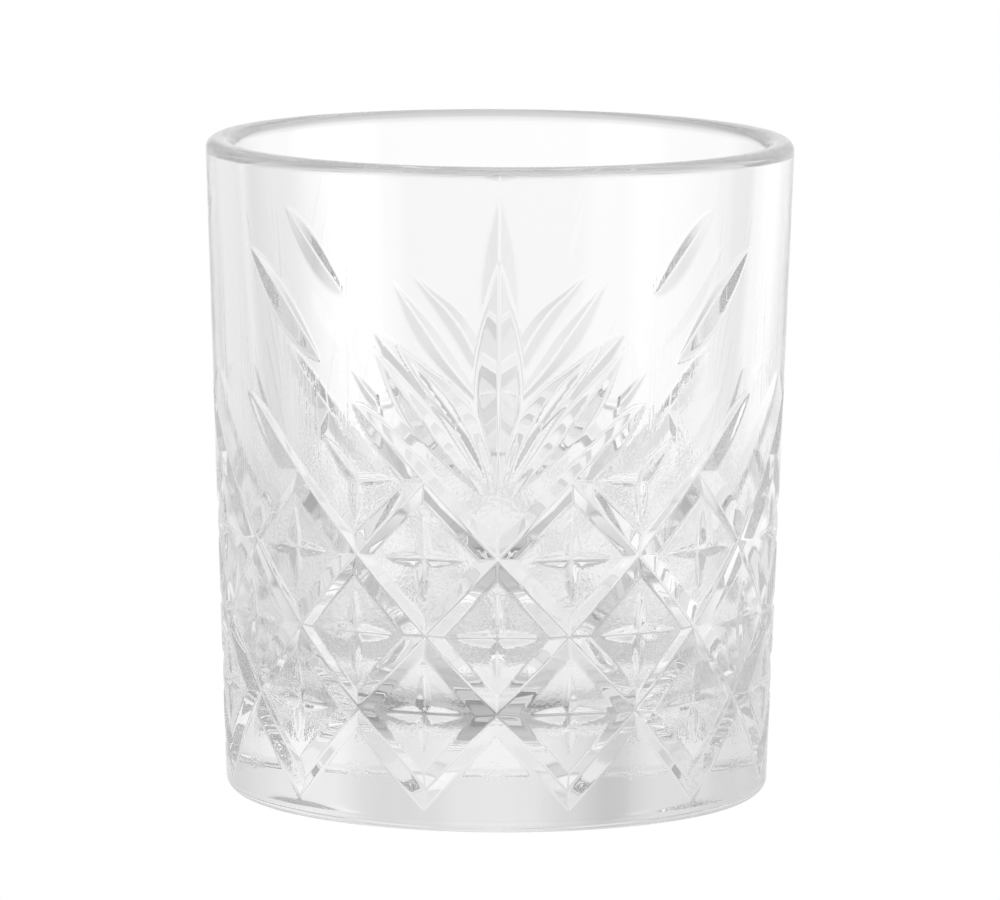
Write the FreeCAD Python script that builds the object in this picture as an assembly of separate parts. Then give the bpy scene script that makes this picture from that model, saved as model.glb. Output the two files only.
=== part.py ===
import FreeCAD, Part
import math
import os

# Heavy pressed-glass tumbler, one piece of clear glass.
# Millimetres, +Z up, origin at the centre of the foot, the main palmette faces -Y.

# Overall size
HEIGHT = 96.0
FOOT_RADIUS = 39.67
RIM_RADIUS = 42.96

# Wall and base
FLOOR_Z = 12.0
FLOOR_FILLET = 14.0
CAVITY_LOW = (32.1, FLOOR_Z)
CAVITY_MID = (36.05, 54.0)
CAVITY_TOP = (38.75, HEIGHT)
RIM_INNER_FILLET = 2.4
RIM_OUTER_FILLET = 1.5
HEEL_FILLET = 2.2

# Shallow hollow under the base that leaves a ring to stand on
HOLLOW_RADIUS = 33.0
HOLLOW_HEIGHT = 1.0
HOLLOW_FILLET = 0.8

# Lattice of crossing V-cuts
COLUMNS = 12
PITCH = 360.0 / COLUMNS
HALF = PITCH / 2.0
ROW_E = 6.1
ROW_D = 17.3
ROW_C = 28.5
ROW_B = 39.8
ROW_A = 50.9
LATTICE_RISE = 2.9
LATTICE_DEPTH = 0.92
SPIKE_TIP_Z = 61.6

# Stars in the diamonds
STAR_REACH = 7.3
STAR_DEPTH = 0.62
STAR_SLOPE = 1.85
OPEN_STAR_SLOPE = 2.0
OPEN_STAR_RAY_SLOPE = 2.6

# Leaf cuts of the two palmettes, and the lone slashes above them
FRONT_AND_BACK = (0, 180)
CENTRE_LEAF_SLOPE = 3.2
INNER_LEAF_SLOPE = 3.3
OUTER_LEAF_SLOPE = 3.5
SLASH_START = (35.6, 66.2)
SLASH_END = (58.8, 83.6)
SLASH_DEPTH = 0.85
SLASH_SLOPE = 3.6

# Cutting tools reach this far outside the wall
CLEAR = 0.5
# How far past its point a tapering cut is carried, as negative depth
FADE = 0.25


def wall_radius(z):
    return FOOT_RADIUS + (RIM_RADIUS - FOOT_RADIUS) * z / HEIGHT


def on_wall(angle, z, lift):
    radius = wall_radius(z) + lift
    turn = math.radians(angle)
    return FreeCAD.Vector(radius * math.sin(turn), -radius * math.cos(turn), z)


def blank():
    """The plain tumbler before any cutting: tapered wall, thick base, rounded rim."""
    outside = Part.makeCone(FOOT_RADIUS, RIM_RADIUS, HEIGHT)
    floor = FreeCAD.Vector(0, 0, FLOOR_Z)
    low = FreeCAD.Vector(CAVITY_LOW[0], 0, CAVITY_LOW[1])
    mid = FreeCAD.Vector(CAVITY_MID[0], 0, CAVITY_MID[1])
    top = FreeCAD.Vector(CAVITY_TOP[0], 0, CAVITY_TOP[1])
    axis_top = FreeCAD.Vector(0, 0, HEIGHT)
    edges = [
        Part.makeLine(floor, low),
        Part.Arc(low, mid, top).toShape(),
        Part.makeLine(top, axis_top),
        Part.makeLine(axis_top, floor),
    ]
    face = Part.Face(Part.Wire(edges))
    cavity = face.revolve(FreeCAD.Vector(0, 0, 0), FreeCAD.Vector(0, 0, 1), 360)
    hollow = Part.makeCylinder(HOLLOW_RADIUS, HOLLOW_HEIGHT)
    body = outside.cut(cavity).cut(hollow)
    body = round_circles(body, FLOOR_Z, CAVITY_LOW[0], FLOOR_FILLET)
    body = round_circles(body, HEIGHT, CAVITY_TOP[0], RIM_INNER_FILLET)
    body = round_circles(body, HEIGHT, RIM_RADIUS, RIM_OUTER_FILLET)
    body = round_circles(body, 0.0, FOOT_RADIUS, HEEL_FILLET)
    return round_circles(body, HOLLOW_HEIGHT, HOLLOW_RADIUS, HOLLOW_FILLET)


def round_circles(body, z, radius, fillet):
    """Round the circular edge of the body that lies at this height and radius."""
    found = []
    for edge in body.Edges:
        if not isinstance(edge.Curve, Part.Circle):
            continue
        level = abs(edge.Curve.Center.z - z) < 1e-3
        if level and abs(edge.Curve.Radius - radius) < 1e-3:
            found.append(edge)
    return body.makeFillet(fillet, found)


def v_cut(path, slope, upright):
    """A tapering V-shaped cutter.

    path lists (angle, z, depth) along the bottom of the V.  slope is half width per
    unit of depth.  An upright section opens up and down the wall, for cuts that run
    across it; otherwise the section opens sideways, for cuts that run up it.
    """
    sections = []
    for angle, z, depth in path:
        half = slope * (depth + CLEAR)
        swing = math.degrees(half / wall_radius(z))
        if upright:
            first = on_wall(angle, z - half, CLEAR)
            last = on_wall(angle, z + half, CLEAR)
        else:
            first = on_wall(angle - swing, z, CLEAR)
            last = on_wall(angle + swing, z, CLEAR)
        bottom = on_wall(angle, z, -depth)
        sections.append(Part.makePolygon([first, bottom, last, first]))
    return Part.makeLoft(sections, True, False)


def lens_path(start, end, depth, steps):
    """Points of a straight cut whose depth swells to the middle and fades at both ends."""
    path = []
    for i in range(steps + 1):
        t = i / steps
        angle = start[0] + (end[0] - start[0]) * t
        z = start[1] + (end[1] - start[1]) * t
        path.append((angle, z, (depth + FADE) * (1 - (2 * t - 1) ** 2) - FADE))
    return path


def lattice_path(foot_angle, lean):
    """Bottom line of a lattice groove, half a row at a time from row E up to row A."""
    rows = [ROW_E, ROW_D, ROW_C, ROW_B, ROW_A]
    path = [(foot_angle, ROW_E, LATTICE_DEPTH)]
    for i in range(1, len(rows)):
        middle = (rows[i - 1] + rows[i]) / 2.0
        angle = foot_angle + lean * HALF * i
        path.append((angle - lean * HALF / 2.0, middle, LATTICE_DEPTH))
        path.append((angle, rows[i], LATTICE_DEPTH))
    return path


def spike_path(top_angle, lean):
    """Continuation of a lattice groove above row A, closing to a point."""
    path = []
    for t, depth in ((0.3, 0.92), (0.6, 0.8), (0.85, 0.45), (1.0, 0.0), (1.06, -FADE)):
        z = ROW_A + (SPIKE_TIP_Z - ROW_A) * t
        path.append((top_angle + lean * HALF * t, z, depth))
    return path


def leans_away(top_angle, lean):
    """True where a groove reaching row A leans away from the nearer palmette."""
    return math.sin(math.radians(2 * top_angle)) * lean > 0


def lattice():
    """Both families of slanting grooves, each family a group that never crosses itself."""
    slope = LATTICE_RISE / LATTICE_DEPTH
    groups = []
    for lean in (-1, 1):
        group = []
        for column in range(COLUMNS):
            path = lattice_path(HALF + PITCH * column, lean)
            top_angle = path[-1][0]
            if leans_away(top_angle, lean):
                path = path + spike_path(top_angle, lean)
            group.append(v_cut(path, slope, True))
        groups.append(group)
    return groups


def stars():
    """Four-pointed star in every full diamond: an upright and a level lens cut."""
    upright = []
    level = []
    for column in range(COLUMNS):
        for z, shift in ((ROW_D, HALF), (ROW_C, 0.0), (ROW_B, HALF)):
            angle = column * PITCH + shift
            swing = math.degrees(STAR_REACH / wall_radius(z))
            up = lens_path((angle, z - STAR_REACH), (angle, z + STAR_REACH), STAR_DEPTH, 6)
            across = lens_path((angle - swing, z), (angle + swing, z), STAR_DEPTH, 6)
            upright.append(v_cut(up, STAR_SLOPE, False))
            level.append(v_cut(across, STAR_SLOPE, True))
    return [upright, level]


def on_both_faces(path, side, slope, upright):
    """The same cut at the front and at the back, mirrored where side is -1."""
    group = []
    for face in FRONT_AND_BACK:
        placed = [(face + side * angle, z, depth) for angle, z, depth in path]
        group.append(v_cut(placed, slope, upright))
    return group


def open_stars():
    """Three-armed star in the open diamonds beside each palmette."""
    down = [(29.3, 50.6, 0.55), (29.4, 47.6, 0.45), (29.5, 44.6, 0.0), (29.5, 43.9, -FADE)]
    inward = [(29.3, 50.6, 0.5), (24.8, 50.8, 0.4), (20.8, 51.2, 0.0), (20.0, 51.3, -FADE)]
    ray = [(29.3, 50.6, 0.55), (33.0, 53.3, 0.5), (36.8, 56.4, 0.0), (37.6, 57.1, -FADE)]
    groups = []
    for side in (-1, 1):
        groups.append(on_both_faces(down, side, OPEN_STAR_SLOPE, False))
        groups.append(on_both_faces(inward, side, OPEN_STAR_SLOPE, True))
        groups.append(on_both_faces(ray, side, OPEN_STAR_RAY_SLOPE, True))
    return groups


def palmettes():
    """Five leaf cuts fanned up from one diamond, on the front and on the back."""
    centre = [
        (0, 48.6, -FADE), (0, 49.4, 0.0), (0, 55.0, 0.5), (0, 61.0, 0.86), (0, 67.0, 0.98),
        (0, 73.0, 0.78), (0, 78.5, 0.4), (0, 82.6, 0.0), (0, 84.0, -FADE),
    ]
    inner = [
        (0.9, 48.9, -FADE), (1.4, 50.0, 0.0), (3.9, 55.2, 0.47), (7.2, 60.0, 0.67),
        (11.4, 64.2, 0.63), (16.0, 67.5, 0.35), (19.9, 70.4, 0.0), (20.8, 71.1, -FADE),
    ]
    outer = [
        (1.8, 48.1, -FADE), (2.8, 49.1, 0.0), (7.2, 52.6, 0.4), (12.0, 56.6, 0.64),
        (16.3, 60.8, 0.68), (20.8, 65.4, 0.4), (24.9, 69.6, 0.0), (25.7, 70.5, -FADE),
    ]
    groups = [on_both_faces(centre, 1, CENTRE_LEAF_SLOPE, False)]
    for side in (-1, 1):
        groups.append(on_both_faces(inner, side, INNER_LEAF_SLOPE, False))
        groups.append(on_both_faces(outer, side, OUTER_LEAF_SLOPE, False))
    return groups


def slashes():
    """Single lens cuts high on the wall, in line with the spikes beside each palmette."""
    path = lens_path(SLASH_START, SLASH_END, SLASH_DEPTH, 8)
    return [on_both_faces(path, side, SLASH_SLOPE, True) for side in (-1, 1)]


def tumbler():
    body = blank()
    for group in lattice() + stars() + open_stars() + palmettes() + slashes():
        body = body.cut(group)
    if len(body.Solids) != 1 or not body.isValid():
        raise ValueError("the tumbler must be one sound solid")
    return body.Solids[0]


os.makedirs("parts", exist_ok=True)
tumbler().exportStep("parts/tumbler_glass.step")
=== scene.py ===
import math

import bpy
import numpy as np
from mathutils import Matrix, Vector


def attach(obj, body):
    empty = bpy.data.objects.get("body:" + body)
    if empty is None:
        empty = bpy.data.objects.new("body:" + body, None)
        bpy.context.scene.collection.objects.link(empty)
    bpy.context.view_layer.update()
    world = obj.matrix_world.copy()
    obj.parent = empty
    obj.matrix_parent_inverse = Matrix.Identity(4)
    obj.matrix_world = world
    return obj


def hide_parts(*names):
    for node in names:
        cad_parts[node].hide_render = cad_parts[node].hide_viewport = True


# Pressed-glass tumbler.  The glass is one mesh: its wall is the CAD's cut wall again, with
# the soft edges that pressed glass has.  Shape in millimetres and degrees (angle 0 faces
# -Y, the front leaf fan), written to Blender in metres.

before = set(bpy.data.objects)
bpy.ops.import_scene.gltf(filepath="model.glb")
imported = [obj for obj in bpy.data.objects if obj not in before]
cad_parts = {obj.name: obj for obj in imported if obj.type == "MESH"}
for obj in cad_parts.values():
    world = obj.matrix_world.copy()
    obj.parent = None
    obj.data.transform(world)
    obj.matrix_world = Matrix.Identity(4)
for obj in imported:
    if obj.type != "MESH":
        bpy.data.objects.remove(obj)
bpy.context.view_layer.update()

# Outline, as in the CAD
HEIGHT = 96.0
FOOT_RADIUS = 39.67
RIM_RADIUS = 42.96
CAVITY_LOW = (32.1, 12.0)
CAVITY_MID = (36.05, 54.0)
CAVITY_TOP = (38.75, 96.0)
FLOOR_FILLET = 14.0
RIM_INNER_FILLET = 2.4
RIM_OUTER_FILLET = 1.5
WALL_LEAN = math.atan((RIM_RADIUS - FOOT_RADIUS) / HEIGHT)
HEEL_FILLET = 2.2
HOLLOW_RADIUS = 33.0
HOLLOW_HEIGHT = 1.0
HOLLOW_FILLET = 0.8
HOLLOW_EDGE = 0.3

# Cuts, as in the CAD
COLUMNS = 12
PITCH = 360.0 / COLUMNS
HALF = PITCH / 2.0
ROW_E = 6.1
ROW_D = 17.3
ROW_C = 28.5
ROW_B = 39.8
ROW_A = 50.9
LATTICE_RISE = 2.9
LATTICE_DEPTH = 0.92
SPIKE_TIP_Z = 61.6
STAR_REACH = 7.3
STAR_DEPTH = 0.62
STAR_SLOPE = 1.85
OPEN_STAR_SLOPE = 2.0
OPEN_STAR_RAY_SLOPE = 2.6
FRONT_AND_BACK = (0, 180)
CENTRE_LEAF_SLOPE = 3.2
INNER_LEAF_SLOPE = 3.3
OUTER_LEAF_SLOPE = 3.5
SLASH_START = (35.6, 66.2)
SLASH_END = (58.8, 83.6)
SLASH_DEPTH = 0.85
SLASH_SLOPE = 3.6
FADE = 0.25
# Depths of a spike, by the share of the way to its tip
SPIKE_DEPTHS = ((0.3, 0.92), (0.6, 0.8), (0.85, 0.45), (1.0, 0.0), (1.06, -FADE))

# Softness of the groove edges (in depth) and of their bottoms (half width)
EDGE_BLEND = 0.14
VALLEY_ROUND = 0.3

# Mesh: fine rows and columns over the cuts, every fifth column elsewhere, then thinned
CUT_TOP_Z = 84.6
ROW_STEP = 0.36
FINE_COLUMNS = 750
COARSE = 5
KEPT_SHARE = 0.5
PATH_STEPS = 12
SLOPE_STEP = 0.02
WALL_BAND = 1.6
LENS_STEPS = 6
SLASH_STEPS = 8
NORMAL_BATCH = 4096

# Outline: where its flat and plain stretches have points, and the steps of its roundings
HOLLOW_POINTS = (0.0, 4.0, 10.0, 18.0, 26.0, 31.0)
FOOT_POINT = 35.5
PLAIN_WALL_POINTS = (CUT_TOP_Z + 1.5, 88.0, 90.5, 93.0)
FLOOR_POINTS = (13.0, 8.0, 4.0, 0.0)
HOLLOW_STEPS = 6
HOLLOW_END_ANGLE = 15
HOLLOW_EDGE_STEPS = 5
HEEL_STEPS = 12
RIM_OUTER_STEPS = 12
RIM_INNER_STEPS = 14
CAVITY_STEPS = 34
FLOOR_STEPS = 26

# Glass
GLASS_IOR = 1.52
ABSORPTION = 1.2
CLEAR_ROUGHNESS = 0.0
STIPPLE_ROUGHNESS = 0.14
STIPPLE_SCALE = 1500.0
STIPPLE_DETAIL = 2.0
STIPPLE_BUMP = 0.00006
RIPPLE_SCALE = 130.0
RIPPLE_DETAIL = 1.0
RIPPLE_BUMP = 0.000008
STIPPLE_TOP = 56.0
STIPPLE_TOP_FADE = 5.0
STIPPLE_FOOT = 11.0
STIPPLE_FOOT_FADE = 2.0
STIPPLE_EDGE = 0.06

# Camera: a long lens, a little above the rim
CAMERA_DISTANCE = 1.2936
CAMERA_HEIGHT = 0.2292
AIM = Vector((0.00025, 0.0, 0.0500))
LENS = 321.1
SENSOR = 36.0
ROLL = math.radians(0.34)
CLIP_START = 0.05
CLIP_END = 20.0

# Studio light on the glass by compass angle (camera at 0, its right at +90, the lit
# backdrop at 180), scaled by height above the horizon; overhead it is even
ROUND_LIGHT = (
    (-180, 1.04), (-175, 1.01), (-170, 0.88), (-163, 0.72), (-153, 0.88), (-125, 0.8),
    (-105, 0.6), (-78, 0.55), (-72, 1.1), (-44, 1.1), (-38, 0.5), (0, 0.45),
    (55, 0.5), (60, 1.35), (100, 1.35), (106, 0.8), (150, 1.08), (163, 0.86),
    (170, 0.92), (175, 1.02), (180, 1.04),
)
RISE_LIGHT = (
    (-90, 0.52), (-50, 0.56), (-32, 0.64), (-22, 0.84), (-14, 0.98), (-4, 1.0), (2, 0.92),
    (8, 0.88), (20, 0.96), (90, 1.0),
)
OVERHEAD_SHARE = ((30, 0.0), (55, 1.0))
OVERHEAD_LIGHT = 1.1

# The floor the camera sees
FLOOR_REACH = 3.0
FLOOR_DROP = 0.0002
FLOOR_LIGHT = 1.0

# Longest chain of refractions and reflections inside the glass
BOUNCES = 48


def wall_radius(z):
    return FOOT_RADIUS + (RIM_RADIUS - FOOT_RADIUS) * z / HEIGHT


def cavity_radius(z):
    """The cavity wall's gentle curve through its three points."""
    (r0, z0), (r1, z1), (r2, z2) = CAVITY_LOW, CAVITY_MID, CAVITY_TOP
    low = (z - z1) * (z - z2) / ((z0 - z1) * (z0 - z2))
    mid = (z - z0) * (z - z2) / ((z1 - z0) * (z1 - z2))
    top = (z - z0) * (z - z1) / ((z2 - z0) * (z2 - z1))
    return r0 * low + r1 * mid + r2 * top


def cavity_slant(z):
    """The cavity wall's lean from upright at this height, in radians."""
    return math.atan((cavity_radius(z + 0.1) - cavity_radius(z - 0.1)) / 0.2)


def lens_path(start, end, depth, steps):
    """Points of a straight cut whose depth swells to the middle and fades at both ends."""
    path = []
    for i in range(steps + 1):
        t = i / steps
        angle = start[0] + (end[0] - start[0]) * t
        z = start[1] + (end[1] - start[1]) * t
        path.append((angle, z, (depth + FADE) * (1 - (2 * t - 1) ** 2) - FADE))
    return path


def lattice_path(foot_angle, lean):
    """Bottom line of a lattice groove, with its spike where it leans off a leaf fan."""
    rows = (ROW_E, ROW_D, ROW_C, ROW_B, ROW_A)
    path = [(foot_angle + lean * HALF * i, z, LATTICE_DEPTH) for i, z in enumerate(rows)]
    top_angle = path[-1][0]
    if math.sin(math.radians(2 * top_angle)) * lean > 0:
        for t, depth in SPIKE_DEPTHS:
            z = ROW_A + (SPIKE_TIP_Z - ROW_A) * t
            path.append((top_angle + lean * HALF * t, z, depth))
    return path


def lattice_cuts():
    slope = LATTICE_RISE / LATTICE_DEPTH
    cuts = []
    for lean in (-1, 1):
        for column in range(COLUMNS):
            cuts.append((lattice_path(HALF + PITCH * column, lean), slope, True))
    return cuts


def star_cuts():
    """An upright and a level lens cut in every full diamond."""
    cuts = []
    for column in range(COLUMNS):
        for z, shift in ((ROW_D, HALF), (ROW_C, 0.0), (ROW_B, HALF)):
            angle = column * PITCH + shift
            swing = math.degrees(STAR_REACH / wall_radius(z))
            up = lens_path((angle, z - STAR_REACH), (angle, z + STAR_REACH), STAR_DEPTH,
                           LENS_STEPS)
            across = lens_path((angle - swing, z), (angle + swing, z), STAR_DEPTH, LENS_STEPS)
            cuts.append((up, STAR_SLOPE, False))
            cuts.append((across, STAR_SLOPE, True))
    return cuts


def face_cuts():
    """Leaf fans, open stars and slashes, at the front and at the back."""
    centre = [
        (0, 48.6, -FADE), (0, 49.4, 0.0), (0, 55.0, 0.5), (0, 61.0, 0.86), (0, 67.0, 0.98),
        (0, 73.0, 0.78), (0, 78.5, 0.4), (0, 82.6, 0.0), (0, 84.0, -FADE),
    ]
    inner = [
        (0.9, 48.9, -FADE), (1.4, 50.0, 0.0), (3.9, 55.2, 0.47), (7.2, 60.0, 0.67),
        (11.4, 64.2, 0.63), (16.0, 67.5, 0.35), (19.9, 70.4, 0.0), (20.8, 71.1, -FADE),
    ]
    outer = [
        (1.8, 48.1, -FADE), (2.8, 49.1, 0.0), (7.2, 52.6, 0.4), (12.0, 56.6, 0.64),
        (16.3, 60.8, 0.68), (20.8, 65.4, 0.4), (24.9, 69.6, 0.0), (25.7, 70.5, -FADE),
    ]
    down = [(29.3, 50.6, 0.55), (29.4, 47.6, 0.45), (29.5, 44.6, 0.0), (29.5, 43.9, -FADE)]
    inward = [(29.3, 50.6, 0.5), (24.8, 50.8, 0.4), (20.8, 51.2, 0.0), (20.0, 51.3, -FADE)]
    ray = [(29.3, 50.6, 0.55), (33.0, 53.3, 0.5), (36.8, 56.4, 0.0), (37.6, 57.1, -FADE)]
    slash = lens_path(SLASH_START, SLASH_END, SLASH_DEPTH, SLASH_STEPS)
    paired = [
        (inner, INNER_LEAF_SLOPE, False), (outer, OUTER_LEAF_SLOPE, False),
        (down, OPEN_STAR_SLOPE, False), (inward, OPEN_STAR_SLOPE, True),
        (ray, OPEN_STAR_RAY_SLOPE, True), (slash, SLASH_SLOPE, True),
    ]
    cuts = []
    for face in FRONT_AND_BACK:
        cuts.append(([(face + a, z, d) for a, z, d in centre], CENTRE_LEAF_SLOPE, False))
        for side in (-1, 1):
            for path, slope, upright in paired:
                placed = [(face + side * a, z, d) for a, z, d in path]
                cuts.append((placed, slope, upright))
    return cuts


def smooth_path(path):
    """Smooth curve through the path's points."""
    points = np.array(path, dtype=float)
    before = np.vstack([2 * points[0] - points[1], points[:-1]])
    after = np.vstack([points[1:], 2 * points[-1] - points[-2]])
    tangent = (after - before) / 2.0
    t = np.linspace(0, 1, PATH_STEPS, endpoint=False)[:, None]
    stretches = []
    for i in range(len(points) - 1):
        stretch = (2 * t**3 - 3 * t**2 + 1) * points[i]
        stretch += (t**3 - 2 * t**2 + t) * tangent[i]
        stretch += (3 * t**2 - 2 * t**3) * points[i + 1]
        stretch += (t**3 - t**2) * tangent[i + 1]
        stretches.append(stretch)
    return np.vstack(stretches + [points[-1:]])


class Groove:
    """One V-cut.  An upright one runs across the wall and opens up and down it."""

    def __init__(self, path, slope, upright):
        line = smooth_path(path)
        self.upright = upright
        self.slope = slope
        along, across = (line[:, 0], line[:, 1]) if upright else (line[:, 1], line[:, 0])
        order = np.argsort(along)
        self.along = along[order]
        self.bottom = across[order]
        self.depth = line[order, 2]
        self.middle = (path[0][0] + path[-1][0]) / 2.0

    def cut_into(self, depth, angle, z):
        """Deepens the depths of those points that this cut reaches."""
        angle = self.middle + (angle - self.middle + 180.0) % 360.0 - 180.0
        along, across = (angle, z) if self.upright else (z, angle)
        off = across - np.interp(along, self.along, self.bottom)
        if not self.upright:
            off = np.radians(off) * wall_radius(z)
        deep = np.interp(along, self.along, self.depth, left=-9.0, right=-9.0)
        reached = deep - np.abs(off) / self.slope > -EDGE_BLEND
        off = np.abs(off[reached])
        low = off < VALLEY_ROUND
        off[low] = (off[low] ** 2 / VALLEY_ROUND + VALLEY_ROUND) / 2.0
        new = deep[reached] - off / self.slope
        old = depth[reached]
        overlap = np.maximum(EDGE_BLEND - np.abs(new - old), 0.0)
        depth[reached] = np.maximum(new, old) + overlap**2 / (4.0 * EDGE_BLEND)


def cut_depth(grooves, angle, z):
    depth = np.zeros_like(z)
    for groove in grooves:
        groove.cut_into(depth, angle, z)
    return depth


def wall_normals(grooves, angle, z):
    """Outward normals of the cut wall, from how its radius changes around and upward."""
    def radius(at_angle, at_z):
        return wall_radius(at_z) - cut_depth(grooves, at_angle, at_z)

    step = math.degrees(SLOPE_STEP) / radius(angle, z)
    around = (radius(angle + step, z) - radius(angle - step, z)) / (2 * SLOPE_STEP)
    up = (radius(angle, z + SLOPE_STEP) - radius(angle, z - SLOPE_STEP)) / (2 * SLOPE_STEP)
    turn = np.radians(angle)
    normal = [np.sin(turn) - around * np.cos(turn), -np.cos(turn) - around * np.sin(turn), -up]
    return np.stack(normal, axis=-1)


def arc(centre_r, centre_z, radius, start, end, steps, hollow=False):
    """Outline points (r, z, normal r, normal z) of a rounding, angles in degrees."""
    flip = -1.0 if hollow else 1.0
    points = []
    for i in range(steps + 1):
        t = math.radians(start + (end - start) * i / steps)
        spot = (centre_r + radius * math.cos(t), centre_z + radius * math.sin(t))
        points.append(spot + (flip * math.cos(t), flip * math.sin(t)))
    return points


def under_outline():
    """From the middle of the hollow underside out over the foot ring and up the heel."""
    heel_z = HEEL_FILLET * (1 - math.sin(WALL_LEAN))
    heel_r = wall_radius(heel_z) - HEEL_FILLET * math.cos(WALL_LEAN)
    points = [(r, HOLLOW_HEIGHT, 0.0, -1.0) for r in HOLLOW_POINTS]
    points += arc(HOLLOW_RADIUS - HOLLOW_FILLET, HOLLOW_HEIGHT - HOLLOW_FILLET,
                  HOLLOW_FILLET, 90, HOLLOW_END_ANGLE, HOLLOW_STEPS, True)
    points += arc(HOLLOW_RADIUS + HOLLOW_EDGE, HOLLOW_EDGE, HOLLOW_EDGE,
                  180, 270, HOLLOW_EDGE_STEPS)
    points.append((FOOT_POINT, 0.0, 0.0, -1.0))
    return points + arc(heel_r, HEEL_FILLET, HEEL_FILLET,
                        -90, -math.degrees(WALL_LEAN), HEEL_STEPS)


def over_outline():
    """From the plain wall above the cuts over the rim and down the cavity to its middle."""
    side = (math.cos(WALL_LEAN), -math.sin(WALL_LEAN))
    points = [(wall_radius(z), z) + side for z in PLAIN_WALL_POINTS]
    rim_z = HEIGHT - RIM_OUTER_FILLET * (1 + math.sin(WALL_LEAN))
    rim_r = wall_radius(rim_z) - RIM_OUTER_FILLET * math.cos(WALL_LEAN)
    points += arc(rim_r, HEIGHT - RIM_OUTER_FILLET, RIM_OUTER_FILLET,
                  -math.degrees(WALL_LEAN), 90, RIM_OUTER_STEPS)
    slant = cavity_slant(HEIGHT)
    top = HEIGHT - RIM_INNER_FILLET * (1 - math.sin(slant))
    points += arc(cavity_radius(top) + RIM_INNER_FILLET * math.cos(slant),
                  HEIGHT - RIM_INNER_FILLET, RIM_INNER_FILLET,
                  90, 180 - math.degrees(slant), RIM_INNER_STEPS)
    floor_z = CAVITY_LOW[1]
    slant = cavity_slant(floor_z + FLOOR_FILLET)
    low = floor_z + FLOOR_FILLET * (1 - math.sin(slant))
    for z in np.linspace(top, low, CAVITY_STEPS)[1:-1]:
        tilt = cavity_slant(z)
        points.append((cavity_radius(z), z, -math.cos(tilt), math.sin(tilt)))
    points += arc(cavity_radius(low) - FLOOR_FILLET * math.cos(slant),
                  floor_z + FLOOR_FILLET, FLOOR_FILLET,
                  -math.degrees(slant), -90, FLOOR_STEPS, True)
    return points + [(r, floor_z, 0.0, 1.0) for r in FLOOR_POINTS]


def ring(radius, z, count):
    turn = np.radians(np.arange(count) * 360.0 / count)
    level = np.full(count, float(z))
    return np.stack([radius * np.sin(turn), -radius * np.cos(turn), level], axis=-1)


def bridge(first, few, second, many):
    """Faces between two rings whose counts are equal, or one a multiple of the other."""
    if few > many:
        return [face[::-1] for face in bridge(second, many, first, few)]
    faces = []
    if few == 1:
        for j in range(many):
            faces.append((second + (j + 1) % many, second + j, first))
        return faces
    times = many // few
    for j in range(few):
        here, following = first + j, first + (j + 1) % few
        if times == 1:
            faces.append((here, following, second + (j + 1) % many, second + j))
            continue
        fine = [second + (j * times + k) % many for k in range(times + 1)]
        half = times // 2
        for k in range(times):
            faces.append((here if k <= half else following, fine[k + 1], fine[k]))
        faces.append((here, following, fine[half + 1]))
    return faces


def full_mesh(grooves):
    """The whole glass as stacked rings, from under the foot over the rim to the floor."""
    coarse = FINE_COLUMNS // COARSE
    under = under_outline()
    over = over_outline()
    rings = [ring(r, z, coarse if r > 0 else 1) for r, z, _, _ in under]
    angles = np.arange(FINE_COLUMNS) * 360.0 / FINE_COLUMNS
    for z in np.arange(HEEL_FILLET + ROW_STEP, CUT_TOP_Z, ROW_STEP):
        depth = cut_depth(grooves, angles, np.full(FINE_COLUMNS, z))
        rings.append(ring(wall_radius(z) - depth, z, FINE_COLUMNS))
    rings += [ring(r, z, coarse if r > 0 else 1) for r, z, _, _ in over]
    faces = []
    start = 0
    for low, high in zip(rings[:-1], rings[1:]):
        faces += bridge(start, len(low), start + len(low), len(high))
        start += len(low)
    mesh = bpy.data.meshes.new("tumbler_rings")
    mesh.from_pydata((np.vstack(rings) / 1000.0).tolist(), [], faces)
    return mesh, under + over


def thinned(piece):
    """The piece's mesh with fewer faces where it is flat."""
    modifier = piece.modifiers.new("thin_out", "DECIMATE")
    modifier.ratio = KEPT_SHARE
    ready = piece.evaluated_get(bpy.context.evaluated_depsgraph_get())
    mesh = bpy.data.meshes.new_from_object(ready)
    piece.modifiers.clear()
    mesh.name = "tumbler"
    return mesh


def outline_normals(outline, angle, radius, z):
    """Normals of the turned surfaces, from the nearest place on the outline."""
    outline = np.array(outline)
    t = np.linspace(0, 1, PATH_STEPS, endpoint=False)[:, None]
    pairs = zip(outline[:-1], outline[1:])
    dense = np.vstack([a * (1 - t) + b * t for a, b in pairs])
    normals = np.empty((len(z), 3))
    for low in range(0, len(z), NORMAL_BATCH):
        part = slice(low, low + NORMAL_BATCH)
        gap = (radius[part, None] - dense[:, 0]) ** 2 + (z[part, None] - dense[:, 1]) ** 2
        near = dense[gap.argmin(1)]
        turn = np.radians(angle[part])
        normals[part] = np.stack(
            [near[:, 2] * np.sin(turn), -near[:, 2] * np.cos(turn), near[:, 3]], axis=-1)
    return normals


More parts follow.
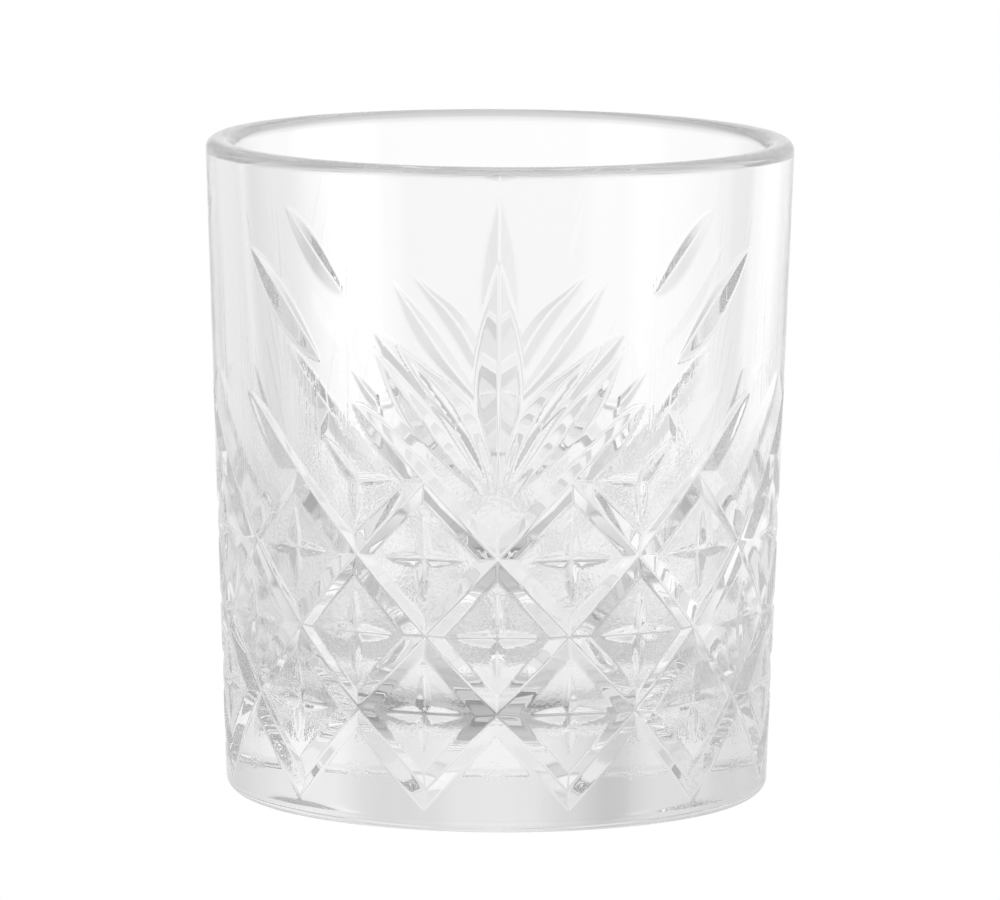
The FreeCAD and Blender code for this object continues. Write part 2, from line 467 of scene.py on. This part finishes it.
def finish_surface(mesh, grooves, outline):
    """Exact smooth normals, and where the faces of the diamonds carry their stipple."""
    spots = np.empty(len(mesh.vertices) * 3)
    mesh.vertices.foreach_get("co", spots)
    spots = spots.reshape(-1, 3) * 1000.0
    angle = np.degrees(np.arctan2(spots[:, 0], -spots[:, 1]))
    radius = np.hypot(spots[:, 0], spots[:, 1])
    z = spots[:, 2]
    normals = outline_normals(outline, angle, radius, z)
    wall = (radius > wall_radius(z) - WALL_BAND) & (z > HEEL_FILLET)
    wall &= z < HEIGHT - 2 * RIM_OUTER_FILLET
    normals[wall] = wall_normals(grooves, angle[wall], z[wall])
    normals /= np.linalg.norm(normals, axis=1, keepdims=True)
    mesh.shade_smooth()
    mesh.normals_split_custom_set_from_vertices(normals.tolist())

    stipple = np.zeros(len(z), dtype=np.float32)
    height = z[wall]
    share = np.clip(1.0 - cut_depth(grooves, angle[wall], height) / STIPPLE_EDGE, 0.0, 1.0)
    share *= np.clip((STIPPLE_TOP - height) / STIPPLE_TOP_FADE, 0.0, 1.0)
    share *= np.clip((height - STIPPLE_FOOT) / STIPPLE_FOOT_FADE, 0.0, 1.0)
    stipple[wall] = share
    mesh.attributes.new("stipple", "FLOAT", "POINT").data.foreach_set("value", stipple)


def glass_piece(material):
    grooves = [Groove(*cut) for cut in lattice_cuts() + star_cuts() + face_cuts()]
    mesh, outline = full_mesh(grooves)
    piece = bpy.data.objects.new("tumbler", mesh)
    bpy.context.scene.collection.objects.link(piece)
    piece.data = thinned(piece)
    finish_surface(piece.data, grooves, outline)
    piece.data.materials.clear()
    piece.data.materials.append(material)
    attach(piece, "root")
    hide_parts("tumbler_glass")


def math_node(tree, kind, first, second=None):
    node = tree.nodes.new("ShaderNodeMath")
    node.operation = kind
    for socket, value in zip(node.inputs, (first, second)):
        if isinstance(value, (int, float)):
            socket.default_value = value
        elif value is not None:
            tree.links.new(value, socket)
    return node.outputs[0]


def noise(tree, coords, scale, detail):
    node = tree.nodes.new("ShaderNodeTexNoise")
    node.inputs["Scale"].default_value = scale
    node.inputs["Detail"].default_value = detail
    tree.links.new(coords.outputs["Object"], node.inputs["Vector"])
    return node.outputs[0]


def bump(tree, height, distance, under=None):
    node = tree.nodes.new("ShaderNodeBump")
    node.inputs["Distance"].default_value = distance
    tree.links.new(height, node.inputs["Height"])
    if under is not None:
        tree.links.new(under, node.inputs["Normal"])
    return node.outputs[0]


def clear_glass():
    """Clear soda glass: faint ripples all over, fine stipple on the faces of the diamonds."""
    material = bpy.data.materials.new("clear_glass")
    material.use_nodes = True
    tree = material.node_tree
    shader = tree.nodes["Principled BSDF"]
    shader.inputs["Base Color"].default_value = (1.0, 1.0, 1.0, 1.0)
    shader.inputs["IOR"].default_value = GLASS_IOR
    shader.inputs["Transmission Weight"].default_value = 1.0
    coords = tree.nodes.new("ShaderNodeTexCoord")
    grain = tree.nodes.new("ShaderNodeAttribute")
    grain.attribute_name = "stipple"
    rough = tree.nodes.new("ShaderNodeMapRange")
    rough.inputs["To Min"].default_value = CLEAR_ROUGHNESS
    rough.inputs["To Max"].default_value = STIPPLE_ROUGHNESS
    tree.links.new(grain.outputs["Fac"], rough.inputs["Value"])
    tree.links.new(rough.outputs[0], shader.inputs["Roughness"])
    grains = noise(tree, coords, STIPPLE_SCALE, STIPPLE_DETAIL)
    grains = math_node(tree, "MULTIPLY", grains, grain.outputs["Fac"])
    stipple = bump(tree, grains, STIPPLE_BUMP)
    waves = noise(tree, coords, RIPPLE_SCALE, RIPPLE_DETAIL)
    ripples = bump(tree, waves, RIPPLE_BUMP, stipple)
    tree.links.new(ripples, shader.inputs["Normal"])
    body = tree.nodes.new("ShaderNodeVolumeAbsorption")
    body.inputs["Color"].default_value = (0.0, 0.0, 0.0, 1.0)
    body.inputs["Density"].default_value = ABSORPTION
    tree.links.new(body.outputs["Volume"], tree.nodes["Material Output"].inputs["Volume"])
    return material


def light_curve(tree, turn, stops, span):
    """Light level at a bearing: turn runs 0 to 1 over the span of degrees in stops."""
    node = tree.nodes.new("ShaderNodeValToRGB")
    node.color_ramp.interpolation = "EASE"
    elements = node.color_ramp.elements
    elements.remove(elements[-1])
    peak = max(level for _, level in stops)
    for i, (bearing, level) in enumerate(stops):
        place = (bearing + span / 2.0) / span
        element = elements[0] if i == 0 else elements.new(place)
        element.position = place
        element.color = (level / peak,) * 3 + (1.0,)
    tree.links.new(turn, node.inputs["Fac"])
    return math_node(tree, "MULTIPLY", node.outputs["Color"], peak)


def mix(tree, share, first, second):
    node = tree.nodes.new("ShaderNodeMix")
    node.data_type = "FLOAT"
    tree.links.new(share, node.inputs[0])
    tree.links.new(first, node.inputs[2])
    node.inputs[3].default_value = second
    return node.outputs[0]


def studio_light():
    """Soft studio all round the glass; the camera itself sees plain white behind it."""
    studio = bpy.data.worlds.new("studio")
    bpy.context.scene.world = studio
    studio.use_nodes = True
    tree = studio.node_tree
    coords = tree.nodes.new("ShaderNodeTexCoord")
    parts = tree.nodes.new("ShaderNodeSeparateXYZ")
    tree.links.new(coords.outputs["Generated"], parts.inputs[0])
    front = math_node(tree, "MULTIPLY", parts.outputs["Y"], -1.0)
    bearing = math_node(tree, "ARCTAN2", parts.outputs["X"], front)
    lap = math_node(tree, "MULTIPLY_ADD", bearing, 0.5 / math.pi)
    lap.node.inputs[2].default_value = 0.5
    climb = math_node(tree, "ARCSINE", parts.outputs["Z"])
    lift = math_node(tree, "MULTIPLY_ADD", climb, 1.0 / math.pi)
    lift.node.inputs[2].default_value = 0.5
    around = light_curve(tree, lap, ROUND_LIGHT, 360.0)
    rise = light_curve(tree, lift, RISE_LIGHT, 180.0)
    glow = math_node(tree, "MULTIPLY", around, rise)
    glow = mix(tree, light_curve(tree, lift, OVERHEAD_SHARE, 180.0), glow, OVERHEAD_LIGHT)
    seen = tree.nodes.new("ShaderNodeLightPath").outputs["Is Camera Ray"]
    sky = tree.nodes["Background"]
    sky.inputs["Color"].default_value = (1.0, 1.0, 1.0, 1.0)
    tree.links.new(mix(tree, seen, glow, 1.0), sky.inputs["Strength"])


def floor():
    """The white sweep the glass stands on; the studio light already holds its glow."""
    material = bpy.data.materials.new("floor")
    material.use_nodes = True
    tree = material.node_tree
    tree.nodes.remove(tree.nodes["Principled BSDF"])
    glow = tree.nodes.new("ShaderNodeEmission")
    glow.inputs["Strength"].default_value = FLOOR_LIGHT
    tree.links.new(glow.outputs[0], tree.nodes["Material Output"].inputs["Surface"])
    mesh = bpy.data.meshes.new("floor")
    signs = ((-1, -1), (1, -1), (1, 1), (-1, 1))
    corners = [(x * FLOOR_REACH, y * FLOOR_REACH, -FLOOR_DROP) for x, y in signs]
    mesh.from_pydata(corners, [], [(0, 1, 2, 3)])
    mesh.materials.append(material)
    plane = bpy.data.objects.new("floor", mesh)
    bpy.context.scene.collection.objects.link(plane)
    plane.visible_diffuse = False
    plane.visible_glossy = False
    plane.visible_transmission = False
    plane.visible_shadow = False


def camera():
    data = bpy.data.cameras.new("camera")
    data.lens = LENS
    data.sensor_width = SENSOR
    data.clip_start = CLIP_START
    data.clip_end = CLIP_END
    place = Vector((0.0, -CAMERA_DISTANCE, CAMERA_HEIGHT))
    turn = (AIM - place).to_track_quat("-Z", "Y").to_matrix().to_4x4()
    eye = bpy.data.objects.new("camera", data)
    eye.matrix_world = Matrix.Translation(place) @ turn @ Matrix.Rotation(ROLL, 4, "Z")
    bpy.context.scene.collection.objects.link(eye)
    bpy.context.scene.camera = eye


glass_piece(clear_glass())
floor()
studio_light()
camera()
scene = bpy.context.scene
scene.view_settings.view_transform = "Standard"
scene.cycles.max_bounces = BOUNCES
scene.cycles.transmission_bounces = BOUNCES
scene.cycles.glossy_bounces = BOUNCES
